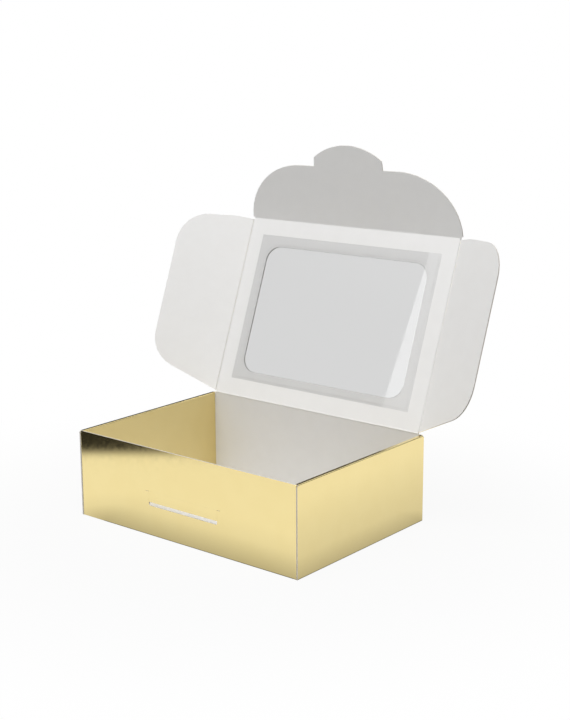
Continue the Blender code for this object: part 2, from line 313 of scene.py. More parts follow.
class Mixture:
    """One material or world tree, built from numbers, colours and links."""

    def __init__(self, owner: bpy.types.Material | bpy.types.World, output: str) -> None:
        """Clear the owner's tree.

        Args:
            owner: Material or world.
            output: Type of its output node.
        """
        owner.use_nodes = True
        self.owner = owner
        self.tree = owner.node_tree
        self.tree.nodes.clear()
        self.output = self.tree.nodes.new(output)

    @classmethod
    def material(cls, name: str) -> Mixture:
        """Start a material."""
        return cls(bpy.data.materials.new(name), "ShaderNodeOutputMaterial")

    def node(
        self,
        kind: str,
        settings: dict[str, object] | None = None,
        values: dict[str | int, object] | None = None,
        give: str | int = 0,
    ) -> Wire:
        """Add a node.

        Args:
            kind: Node type.
            settings: Properties, set first.
            values: Numbers, colours or links for its inputs.
            give: The output that is returned.

        Returns:
            The chosen output.
        """
        made = self.tree.nodes.new(kind)
        for name, value in (settings or {}).items():
            setattr(made, name, value)
        for name, value in (values or {}).items():
            self.feed(made.inputs[name], value)
        return Wire(self, made.outputs[give])

    def feed(self, socket: bpy.types.NodeSocket, value: object) -> None:
        """Link a wire to a socket, or set its number or colour.

        Args:
            socket: The input.
            value: A wire, number, vector or colour.
        """
        if isinstance(value, Wire):
            self.tree.links.new(value.socket, socket)
        elif socket.type == "RGBA" and len(value) == 3:
            socket.default_value = (*value, 1)
        else:
            socket.default_value = value

    def place(self, kind: str = "Object") -> Wire:
        """Coordinates: Object, UV, or Generated for a world's direction."""
        return self.node("ShaderNodeTexCoord", give=kind)

    def split(self, vector: Wire) -> tuple[Wire, Wire, Wire]:
        """The three numbers of a vector."""
        first = self.node("ShaderNodeSeparateXYZ", values={0: vector})
        made = first.socket.node
        return tuple(Wire(self, output) for output in made.outputs)

    def flutes(self) -> Wire:
        """A wave from -1 to 1 that follows the flutes of the board."""
        across, _, _ = self.split(self.place("UV"))
        return (across * (2 * math.pi / SIZES.flute_pitch)).sine()

    def noise(
        self, scale: float, detail: float, squeeze: Triple = (1, 1, 1), seed: Triple = (0, 0, 0)
    ) -> Wire:
        """Noise on Object coordinates.

        Args:
            scale: Features per metre.
            detail: Octaves.
            squeeze: Scale along each axis, for grain that runs one way.
            seed: Shift of the pattern.

        Returns:
            A number around 0.5.
        """
        mapping = {"Vector": self.place(), "Location": seed, "Scale": squeeze}
        mapped = self.node("ShaderNodeMapping", values=mapping)
        values = {"Vector": mapped, "Scale": scale, "Detail": detail}
        return self.node("ShaderNodeTexNoise", values=values)

    def blend(self, share: Wire | float, first: object, second: object, kind: str = "MIX") -> Wire:
        """Mix two colours or links, where share is how much of the second."""
        settings = {"data_type": "RGBA", "blend_type": kind}
        return self.node("ShaderNodeMix", settings, {0: share, 6: first, 7: second}, give=2)

    def bump(
        self, height: Wire, distance: float, normal: Wire | None = None, strength: float = 1.0
    ) -> Wire:
        """Bump from a height.

        Args:
            height: Number from 0 to 1.
            distance: Height in metres that 1 stands for.
            normal: A bump beneath this one.
            strength: Share of the full slope.

        Returns:
            The normal.
        """
        values = {"Height": height, "Strength": strength, "Distance": distance}
        if normal is not None:
            values["Normal"] = normal
        return self.node("ShaderNodeBump", values=values)

    def rays(self) -> tuple[Wire, Wire]:
        """Tell the rays apart.

        Returns:
            1 for a ray from the camera or through the film, and 1 for a mirrored ray.
        """
        path = self.node("ShaderNodeLightPath").socket.node
        kinds = ("Is Camera Ray", "Is Transmission Ray", "Is Glossy Ray")
        camera, through, glossy = (Wire(self, path.outputs[kind]) for kind in kinds)
        return camera.larger(through), glossy

    def glow(self, kind: str, strength: Wire | float) -> Wire:
        """White light of a strength, from a Background or an Emission node."""
        return self.node(kind, values={"Color": (1, 1, 1), "Strength": strength})

    def choose(self, share: Wire | float, first: Wire, second: Wire) -> Wire:
        """Mix two shaders, where share is how much of the second."""
        return self.node("ShaderNodeMixShader", values={0: share, 1: first, 2: second})

    def finish(self, shader: Wire) -> bpy.types.Material | bpy.types.World:
        """Send a shader to the output, and return what the tree belongs to."""
        self.tree.links.new(shader.socket, self.output.inputs["Surface"])
        return self.owner

    def surface(self, values: dict[str | int, object]) -> bpy.types.Material:
        """Finish with a Principled shader of these values."""
        return self.finish(self.node("ShaderNodeBsdfPrincipled", values=values))


# --- Finishes ---


@dataclass(frozen=True)
class FoilFinish:
    """Metallised gold foil on board, with the board's faint waves and an uneven lacquer.

    Attributes:
        gloss, dull: Least and most roughness.
        wave, grain, flute: Heights of the waves, the grain and the flutes that show through.
        cloud_scale, lacquer_scale: Changes of tone and of gloss per metre.
        cloud_span, lacquer_span: Noise between which the tone and the gloss change.
        wave_scale, grain_scale: Waves and grains per metre.
    """

    name: str = "gold_foil"
    pale: Colour = (0.895, 0.745, 0.365)
    deep: Colour = (0.887, 0.735, 0.356)
    gloss: float = 0.085
    dull: float = 0.12
    wave: float = 0.000006
    grain: float = 0.0000005
    flute: float = 0.0000004
    cloud_scale: float = 34.0
    cloud_span: Pair = (0.35, 0.65)
    lacquer_scale: float = 160.0
    lacquer_span: Pair = (0.3, 0.7)
    wave_scale: float = 16.0
    grain_scale: float = 2600.0

    def material(self) -> bpy.types.Material:
        """Build the material.

        Returns:
            The new material.
        """
        mix = Mixture.material(self.name)
        cloud = mix.noise(self.cloud_scale, detail=3.0)
        lacquer = mix.noise(self.lacquer_scale, detail=4.0, seed=(3.1, 1.7, 0.4))
        waves = mix.noise(self.wave_scale, detail=1.0, seed=(0.8, 2.2, 5.0))
        normal = mix.bump(waves, self.wave)
        normal = mix.bump(mix.flutes() * 0.5 + 0.5, self.flute, normal)
        normal = mix.bump(mix.noise(self.grain_scale, detail=2.0), self.grain, normal)
        return mix.surface(
            {
                "Base Color": mix.blend(cloud.step(*self.cloud_span), self.deep, self.pale),
                "Roughness": lacquer.step(*self.lacquer_span).between(self.gloss, self.dull),
                "Metallic": 1.0,
                "Normal": normal,
            }
        )


@dataclass(frozen=True)
class LinerFinish:
    """Coated white liner, smooth to the touch, with a trace of fibre.

    Attributes:
        bright, shade: Its two tones.
        smooth, rough: Least and most roughness.
        veil: Tone that the liner is multiplied by where the window film lies on it, which looks
            greyer: painted shade for the light that the film holds back.
        fibre, flute: Heights of the fibres and of the flutes that show through.
        cloud_scale, fibre_scale: Changes of tone and fibres per metre.
        fibre_run: Scale of the fibres' pattern along X, Y and Z.
        fibre_share: Share of the fibres in the tone.
        tone_span: Noise between which the tone changes.
    """

    name: str = "white_liner"
    bright: Colour = (0.850, 0.846, 0.838)
    shade: Colour = (0.838, 0.833, 0.824)
    smooth: float = 0.42
    rough: float = 0.60
    veil: Colour = (0.846, 0.849, 0.853)
    fibre: float = 0.000003
    flute: float = 0.0000012
    cloud_scale: float = 60.0
    fibre_scale: float = 1500.0
    fibre_run: Triple = (1.0, 0.35, 0.35)
    fibre_share: float = 0.4
    tone_span: Pair = (0.36, 0.64)

    def material(self) -> bpy.types.Material:
        """Build the material.

        Returns:
            The new material.
        """
        mix = Mixture.material(self.name)
        cloud = mix.noise(self.cloud_scale, detail=4.0)
        fibre = mix.noise(self.fibre_scale, detail=3.0, squeeze=self.fibre_run)
        tone = cloud * (1 - self.fibre_share) + fibre * self.fibre_share
        colour = mix.blend(tone.step(*self.tone_span), self.shade, self.bright)
        normal = mix.bump(mix.flutes() * 0.5 + 0.5, self.flute)
        return mix.surface(
            {
                # Under the film the liner is darkened: painted shade for the film's dimming.
                "Base Color": mix.blend(self._under_film(mix), colour, self.veil, "MULTIPLY"),
                "Roughness": fibre.between(self.smooth, self.rough),
                "Specular IOR Level": COATED,
                "Normal": mix.bump(fibre, self.fibre, normal),
            }
        )

    def _under_film(self, mix: Mixture) -> Wire:
        """Where the window film covers the lid's liner, which there gets the painted film shade.

        Args:
            mix: The material's tree.

        Returns:
            1 under the film, 0 elsewhere.
        """
        x, y, z = mix.split(mix.place())
        run = (y - LID.origin.y) * LID.along.y + (z - LID.origin.z) * LID.along.z
        outside = abs(x) - SIZES.half_film
        outside = outside.larger(SIZES.film_low - run).larger(run - SIZES.film_high)
        return outside.step(HAIR, -HAIR)


@dataclass(frozen=True)
class CoreFinish:
    """Cut edge of the board: two liners with the fluted medium between them.

    The pattern lies in the board's own coordinates: U across the flutes, V inwards from the foil.

    Attributes:
        liner, sheet: Thickness of each liner and of the medium.
        paper, hollow, fibre_colour: Colours of the cut, of the gaps in it, whose darker tone is
            painted shade in the open flutes, and of its fibres.
        sheet_fade, liner_fade: Shares of their thickness over which medium and liner fade out.
        relief, fibre_relief: Heights of the cut over its gaps and of the fibres.
        softness: Share of the full slope in both.
        fibre_scale, fibre_share: Fibres per metre, and their share in the colour.
    """

    name: str = "cut_core"
    liner: float = 0.00024
    sheet: float = 0.00017
    paper: Colour = (0.71, 0.675, 0.63)
    hollow: Colour = (0.60, 0.57, 0.525)
    fibre_colour: Colour = (0.60, 0.54, 0.46)
    sheet_fade: Pair = (1.1, 0.5)
    liner_fade: Pair = (1.15, 0.85)
    relief: float = 0.00006
    fibre_relief: float = 0.00002
    softness: float = 0.5
    fibre_scale: float = 2200.0
    fibre_share: float = 0.15
    roughness: float = 0.85
    specular: float = 0.2

    def material(self) -> bpy.types.Material:
        """Build the material.

        Returns:
            The new material.
        """
        mix = Mixture.material(self.name)
        _, depth, _ = mix.split(mix.place("UV"))
        middle = SIZES.board / 2
        swing = middle - self.liner - self.sheet / 2
        medium = middle + swing * mix.flutes()
        on_medium = abs(depth - medium).step(*(self.sheet * share for share in self.sheet_fade))
        inner, outer = (middle - self.liner * share for share in self.liner_fade)
        solid = on_medium.larger(abs(depth - middle).step(inner, outer))
        fibre = mix.noise(self.fibre_scale, detail=3.0)
        # The gaps in the cut are darker: painted shade in the open flutes.
        colour = mix.blend(solid, self.hollow, self.paper)
        normal = mix.bump(solid, self.relief, strength=self.softness)
        return mix.surface(
            {
                "Base Color": mix.blend(fibre * self.fibre_share, colour, self.fibre_colour),
                "Roughness": self.roughness,
                "Specular IOR Level": self.specular,
                "Normal": mix.bump(fibre, self.fibre_relief, normal, self.softness),
            }
        )


@dataclass(frozen=True)
class FilmFinish:
    """Clear film, which dims what is behind it and mirrors the studio.

    Attributes:
        tint: Light that one face of the film lets through.
        mirror: Share that one face mirrors.
        mirror_rise: Factor on that share seen head on, and how much more it is at a slant.
        grazing: Slant from which the second part shows.
        shine: Colour of what it mirrors.
        smooth, hazy: Least and most roughness.
        wave: Height of its waves.
        wave_scale, streak_scale: Waves and changes of gloss per metre.
        streak_run: Scale of the streaks' pattern along X, Y and Z.
        streak_span: Noise between which the gloss changes.
    """

    name: str
    tint: Colour
    mirror: float = 0.05
    mirror_rise: Pair = (0.85, 0.5)
    grazing: float = 0.35
    shine: Colour = (0.95, 0.95, 0.95)
    smooth: float = 0.012
    hazy: float = 0.03
    wave: float = 0.00004
    wave_scale: float = 9.0
    streak_scale: float = 26.0
    streak_run: Triple = (1.0, 3.0, 3.0)
    streak_span: Pair = (0.4, 0.7)

    def material(self) -> bpy.types.Material:
        """Build the material.

        Returns:
            The new material.
        """
        mix = Mixture.material(self.name)
        streak = mix.noise(self.streak_scale, detail=2.0, squeeze=self.streak_run)
        waves = mix.noise(self.wave_scale, detail=1.0, seed=(4.0, 0.3, 1.1))
        clear = mix.node("ShaderNodeBsdfTransparent", values={"Color": self.tint})
        gloss = mix.node(
            "ShaderNodeBsdfPrincipled",
            values={
                "Base Color": self.shine,
                "Metallic": 1.0,
                "Roughness": streak.step(*self.streak_span).between(self.smooth, self.hazy),
                "Normal": mix.bump(waves, self.wave),
            },
        )
        facing = mix.node("ShaderNodeLayerWeight", values={"Blend": self.grazing}, give="Facing")
        head_on, more = self.mirror_rise
        return mix.finish(mix.choose(self.mirror * (head_on + more * facing), clear, gloss))


@dataclass(frozen=True)
class GlueFinish:
    """Dried white glue line under the film, in the tone of the liner beside it with its painted film
    shade, and a faint mottle.

    Attributes:
        smooth, rough: Least and most roughness.
        drop_scale, drop_span: Drops per metre, and noise between which the gloss changes.
    """

    name: str = "dried_glue"
    # The liner's tone with the painted film shade in it.
    colour: Colour = (0.716, 0.715, 0.711)
    smooth: float = 0.42
    rough: float = 0.52
    drop_scale: float = 260.0
    drop_span: Pair = (0.42, 0.62)

    def material(self) -> bpy.types.Material:
        """Build the material.

        Returns:
            The new material.
        """
        mix = Mixture.material(self.name)
        drops = mix.noise(self.drop_scale, detail=3.0).step(*self.drop_span)
        rough = drops.between(self.smooth, self.rough)
        return mix.surface(
            {"Base Color": self.colour, "Roughness": rough, "Specular IOR Level": COATED}
        )


@dataclass
class Finishes:
    """The carton's materials, built once.

    Attributes:
        board: Foil, liner and core of the lid and its flaps.
        tray: The same for the tray, whose liner is a little greyer: painted shade for the shaded
            inside of the box.
        film: Film on the board and in the window.
    """

    board: list[bpy.types.Material] = field(default_factory=list)
    tray: list[bpy.types.Material] = field(default_factory=list)
    film: list[bpy.types.Material] = field(default_factory=list)
    glue: bpy.types.Material | None = None

    def mix(self) -> Finishes:
        """Build all of them.

        Returns:
            This set.
        """
        foil, core = FoilFinish().material(), CoreFinish().material()
        # The tray's liner is the lid's white board painted a little greyer: painted shade for the
        # shaded inside of the box.
        shaded_liner = LinerFinish("tray_liner", (0.740, 0.733, 0.720), (0.726, 0.718, 0.704))
        self.board = [foil, LinerFinish().material(), core]
        self.tray = [foil, shaded_liner.material(), core]
        self.film = [
            # On the board the film barely dims; its dimming is painted into the liner under it as
            # painted shade.
            FilmFinish("film_on_board", (0.99, 0.99, 0.99), mirror=0.02).material(),
            FilmFinish("film_in_window", (0.856, 0.857, 0.857)).material(),
        ]
        self.glue = GlueFinish().material()
        return self


# --- Bench: edit-mode work on one mesh ---


def select_only(obj: bpy.types.Object) -> None:
    """Select one object and make it the active one."""
    bpy.ops.object.select_all(action="DESELECT")
    obj.select_set(True)
    bpy.context.view_layer.objects.active = obj


class Bench:
    """Holds one object in edit mode while parts of its mesh are picked and moved."""

    def __init__(self, obj: bpy.types.Object) -> None:
        """Take a mesh object at the origin, unturned."""
        self.obj = obj

    def __enter__(self) -> Bench:
        """Open edit mode with nothing selected."""
        select_only(self.obj)
        bpy.ops.object.mode_set(mode="EDIT")
        bpy.ops.mesh.select_all(action="DESELECT")
        return self

    def __exit__(self, *reason: object) -> None:
        """Close edit mode."""
        bpy.ops.object.mode_set(mode="OBJECT")
        self.obj.select_set(False)

    def pick(self, kind: str, test: Callable[[object], bool]) -> None:
        """Select the elements that pass a test, and nothing else.

        Args:
            kind: VERT, EDGE or FACE.
            test: Gets the element.
        """
        bpy.ops.mesh.select_mode(type=kind)
        bpy.ops.mesh.select_all(action="DESELECT")
        mesh = bmesh.from_edit_mesh(self.obj.data)
        mesh.normal_update()
        for element in {"VERT": mesh.verts, "EDGE": mesh.edges, "FACE": mesh.faces}[kind]:
            if test(element):
                element.select_set(True)
        mesh.select_flush_mode()
        bmesh.update_edit_mesh(self.obj.data)

    def faces(self, normal: Vector, test: Callable[[Vector], bool] = lambda place: True) -> None:
        """Select faces by normal and place.

        Args:
            normal: Direction that they face.
            test: Gets the face's middle.
        """
        self.pick(
            "FACE",
            lambda face: face.normal.dot(normal) > SAME_WAY and test(face.calc_center_median()),
        )

    def edges(self, test: Callable[[Vector], bool]) -> None:
        """Select edges whose two ends pass a test."""
        self.pick("EDGE", lambda edge: all(test(vert.co) for vert in edge.verts))

    def points(self, test: Callable[[Vector], bool]) -> None:
        """Select points by place."""
        self.pick("VERT", lambda vert: test(vert.co))

    def all(self) -> None:
        """Select the whole mesh."""
        bpy.ops.mesh.select_all(action="SELECT")

    def extrude(self, shift: Vector) -> None:
        """Extrude the selected faces by a shift."""
        bpy.ops.mesh.extrude_region_move(TRANSFORM_OT_translate={"value": shift})

    def move(self, shift: Vector) -> None:
        """Move what is selected."""
        bpy.ops.transform.translate(value=shift)

    def round(self, radius: float, segments: int, corners: bool = False) -> None:
        """Bevel what is selected.

        Args:
            radius: Width of the bevel.
            segments: Its steps.
            corners: Bevel points of a flat outline and not edges.
        """
        kind = "VERTICES" if corners else "EDGES"
        bpy.ops.mesh.bevel(
            offset=radius, segments=segments, profile=0.5, affect=kind, clamp_overlap=True
        )

    def cut(self, place: Vector, normal: Vector) -> None:
        """Cut the selected faces along a plane."""
        bpy.ops.mesh.bisect(plane_co=place, plane_no=normal)

    def merge_flats(self) -> None:
        """Join the faces that lie in one plane, up to the seams."""
        self.all()
        bpy.ops.mesh.dissolve_limited(angle_limit=FLAT_ANGLE, delimit={"SEAM"})


class Workshop:
    """Turns nodes and primitives into finished pieces of board."""

    def __init__(self, finishes: Finishes) -> None:
        """Keep the built materials."""
        self.finishes = finishes

    def start(
        self, name: str, shape: Callable[..., object], **settings: object
    ) -> bpy.types.Object:
        """Start a piece from a primitive at its size and place.

        Args:
            name: The piece's name.
            shape: Operator that adds the primitive.
            settings: Its settings.

        Returns:
            The piece, with its object at the origin.
        """
        bpy.ops.object.select_all(action="DESELECT")
        shape(**settings)
        bpy.ops.object.transform_apply(location=True, rotation=True, scale=True)
        return self.named(bpy.context.active_object, name)

    def named(self, obj: bpy.types.Object, name: str) -> bpy.types.Object:
        """Name an object and its mesh."""
        obj.name = name
        obj.data.name = name
        return obj

    def trace(
        self, node: str, name: str, partings: list[tuple[Vector, Vector]]
    ) -> bpy.types.Object:
        """Copy a CAD node's mesh into a new piece, with its triangles merged into whole faces.

        Args:
            node: The CAD node.
            name: The piece's name.
            partings: Point and normal of planes that part the faces, so that none has a hole.

        Returns:
            The copy.
        """
        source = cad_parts[node]
        made = bpy.data.objects.new(name, source.data.copy())
        bpy.context.scene.collection.objects.link(made)
        self.named(made, name)
        made.data.materials.clear()
        with Bench(made) as bench:
            bench.all()
            bpy.ops.mesh.remove_doubles(threshold=WELD)
            bpy.ops.mesh.customdata_custom_splitnormals_clear()
            for place, normal in partings:
                bench.all()
                bench.cut(place, normal)
                bench.edges(lambda co: abs((co - place).dot(normal)) < ON_CUT)
                bpy.ops.mesh.mark_seam(clear=False)
            bench.merge_flats()
        return made

    def modify(self, obj: bpy.types.Object, kind: str, **settings: object) -> None:
        """Add a modifier and apply it.

        Args:
            obj: The piece.
            kind: Modifier type.
            settings: Its properties.
        """
        select_only(obj)
        modifier = obj.modifiers.new(kind.title(), kind)
        for name, value in settings.items():
            setattr(modifier, name, value)
        bpy.ops.object.modifier_apply(modifier=modifier.name)

    def smooth(self, obj: bpy.types.Object) -> None:
        """Smooth the folds and keep the flats flat.

        Args:
            obj: The piece.
        """
        select_only(obj)
        bpy.ops.object.shade_smooth_by_angle(angle=SHADE_ANGLE)
        self.modify(obj, "WEIGHTED_NORMAL", mode="FACE_AREA", weight=50, keep_sharp=True)

    def map_board(
        self,
        obj: bpy.types.Object,
        across: Callable[[Vector], float],
        depth: Callable[[Vector], float],
    ) -> None:
        """Give a piece the board's own coordinates as its UV map.

        Args:
            obj: The piece.
            across: Place across the flutes, in metres.
            depth: Distance from the foil side, in metres.
        """
        mesh = obj.data
        layer = mesh.uv_layers.new(name="board")
        for loop in mesh.loops:
            place = mesh.vertices[loop.vertex_index].co
            layer.data[loop.index].uv = (across(place), depth(place))

    def skin(
        self, obj: bpy.types.Object, body: str, choose: Callable[[Vector, Vector], Skin]
    ) -> None:
        """Give each face its finish.

        Args:
            obj: The piece.
            body: CAD body that it rides on, which tells the tray, with its painted-shade liner, from
                the lid.
            choose: Gets a face's normal and middle.
        """
        obj.data.materials.clear()
        for material in self.finishes.tray if body in ("box", "lock_tab") else self.finishes.board:
            obj.data.materials.append(material)
        for face in obj.data.polygons:
            face.material_index = choose(face.normal, face.center).value

    def hand_over(self, obj: bpy.types.Object, body: str, slot: str, *nodes: str) -> None:
        """Give a finished piece to its body.

        Args:
            obj: The piece.
            body: CAD body that it rides on.
            slot: Not used.
            nodes: CAD nodes that it stands for.
        """
        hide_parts(*nodes)
        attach(obj, body)
        places = zip(*(vertex.co for vertex in obj.data.vertices))
        size = " x ".join(f"{(max(row) - min(row)) * 1000:.1f}" for row in places)
        LOG.info("%s on %s: %d faces, %s mm", obj.name, body, len(obj.data.polygons), size)


# --- Sub-assemblies ---


def is_at(place: Pair, target: Pair, slack: float) -> bool:
    """Whether two numbers are those of a target, each within a slack."""
    return all(abs(value - wanted) < slack for value, wanted in zip(place, target))


@dataclass(frozen=True)
class CreaseSeat:
    """How a panel's edge is shaped where it meets the scored bead of a crease.

    Attributes:
        origin: Point on the crease's axis.
        along: Direction from the axis into the panel.
        inner: Direction that the panel's white side faces.
        relief: Half of the sharpest angle that the two panels fold to, on the white side.
        hollow: Radius that the panel's edge keeps from the axis.
    """

    origin: Vector
    along: Vector
    inner: Vector
    relief: float = math.radians(45)
    hollow: float = 0.00115

    def reading(self, co: Vector) -> Pair:
        """Distance of a place from the axis along the panel, and its rise to the white side."""
        from_axis = co - self.origin
        return from_axis.dot(self.along), from_axis.dot(self.inner)


@dataclass
class BoardPanel:
    """One flat panel of the blank, traced from its CAD node.

    Attributes:
        node: The CAD node that it replaces.
        body: The CAD body that it rides on.
        outward: Direction that the foil faces.
        across: Direction across the flutes.
        seats: Creases that the panel reaches.
        stretch: Faces that grow to meet a neighbour: direction, place along it, and shift.
        partings: Point and normal of planes that part the faces round a hole.
        keep_sharp: Whether a point is on a knife cut, where the edges stay sharp.
        facing: Cosine to the foil's direction from which a face is foil; the other way, liner.
        seated: Cosine against a crease's direction from which a face is in its seat.
    """

    node: str
    body: str
    outward: Vector
    across: Vector
    seats: list[CreaseSeat] = field(default_factory=list)
    stretch: list[tuple[Vector, float, float]] = field(default_factory=list)
    partings: list[tuple[Vector, Vector]] = field(default_factory=list)
    keep_sharp: Callable[[Vector], bool] = lambda place: False
    facing: float = 0.05
    seated: float = 0.5

    def build(self, shop: Workshop) -> None:
        """Trace, refine and dress the panel.

        Args:
            shop: The workshop.
        """
        piece = shop.trace(self.node, self.node + "_board", self.partings)
        with Bench(piece) as bench:
            for direction, place, shift in self.stretch:
                bench.points(lambda co: co.dot(direction) > place - HAIR)
                bench.move(direction * shift)
            for seat in self.seats:
                self._seat(bench, seat)
            self._refine(bench)
            bench.all()
            bpy.ops.mesh.remove_doubles(threshold=ROW)
            bench.merge_flats()
            bpy.ops.mesh.quads_convert_to_tris(quad_method="BEAUTY", ngon_method="BEAUTY")
            bpy.ops.mesh.tris_convert_to_quads(
                face_threshold=2 * FLAT_ANGLE, shape_threshold=CUT_ANGLE
            )
            bench.pick("EDGE", self._is_cut)
            bench.round(SIZES.cut_edge, SIZES.cut_steps)
        shop.smooth(piece)
        top = max(vertex.co.dot(self.outward) for vertex in piece.data.vertices)
        shop.map_board(piece, lambda co: co.dot(self.across), lambda co: top - co.dot(self.outward))
        shop.skin(piece, self.body, self._skin)
        shop.hand_over(piece, self.body, "gold_board", self.node)

    def _refine(self, bench: Bench) -> None:
        """Shape what is special to one panel; a plain panel has nothing more."""

    def _is_cut(self, edge: bmesh.types.BMEdge) -> bool:
        """Tell the board's sharp cut edges from its folds.

        Args:
            edge: An edge of the panel.

        Returns:
            Whether it is a cut edge away from the creases and the knife cuts.
        """
        ends = [vert.co for vert in edge.verts]
        if edge.calc_face_angle(0) < CUT_ANGLE or all(self.keep_sharp(end) for end in ends):
            return False
        reach = SIZES.crease_edge + SIZES.board
        return all(seat.reading(end)[0] > reach for end in ends for seat in self.seats)

    def _seat(self, bench: Bench, seat: CreaseSeat) -> None:
        """Carry the panel's rounded edge on to the bead, as a hollow that the bead turns in.

        Args:
            bench: The panel in edit mode.
            seat: The crease.
        """
        half = SIZES.board / 2
        reach = SIZES.crease_edge + half + HAIR
        levels: set[Pair] = set()
        for vertex in bmesh.from_edit_mesh(bench.obj.data).verts:
            gone, rise = seat.reading(vertex.co)
            if gone < reach:
                levels.add((round(gone, 6), round(rise, 6)))
        for gone, rise in sorted(levels):
            level = max(-half, min(half, rise))
            seated = math.sqrt(seat.hollow**2 - level**2)
            if level > 0:
                seated = max(seated, level / math.tan(seat.relief))
            bench.points(lambda co: is_at(seat.reading(co), (gone, rise), ROW))
            bench.move(seat.along * (seated - gone))

    def _skin(self, normal: Vector, place: Vector) -> Skin:
        """Choose foil outside and round the folds, liner inside, core on the cuts.

        Args:
            normal: The face's normal.
            place: Its middle.

        Returns:
            The face's skin.
        """
        for seat in self.seats:
            if normal.dot(seat.along) < -self.seated:
                _, rise = seat.reading(place)
                return Skin.LINER if rise > -SIZES.board / 4 else Skin.FOIL
        facing = normal.dot(self.outward)
        if facing > self.facing:
            return Skin.FOIL
        return Skin.LINER if facing < -self.facing else Skin.CORE


@dataclass
class LockTabPanel(BoardPanel):
    """The lock tab, whose top is a knife cut with a relief behind it, so that it can flex inwards.

    Attributes:
        play: Play left round the tab, which the knife cuts free.
        flex: How far the tab flexes.
        relief_depth: Depth from the foil where the relief starts.
    """

    play: float = 0.00004
    flex: float = math.radians(30)
    relief_depth: float = 0.00092

    def _refine(self, bench: Bench) -> None:
        """Draw the CAD node's rounded top rows out to the cut.

        Args:
            bench: The tab in edit mode.
        """
        top = SIZES.tab_top - self.play
        mesh = bmesh.from_edit_mesh(bench.obj.data)
        rounded = [vertex.co for vertex in mesh.verts if vertex.co.z > top - SIZES.board]
        rows = {(round(co.y, 6), round(co.z, 6)) for co in rounded}
        for y, z in sorted(rows):
            depth = y + SIZES.width / 2
            target = top - max(0.0, depth - self.relief_depth) * math.tan(self.flex)
            bench.points(lambda co: is_at(co.yz, (y, z), WELD))
            bench.move(Z_AXIS * (target - z))


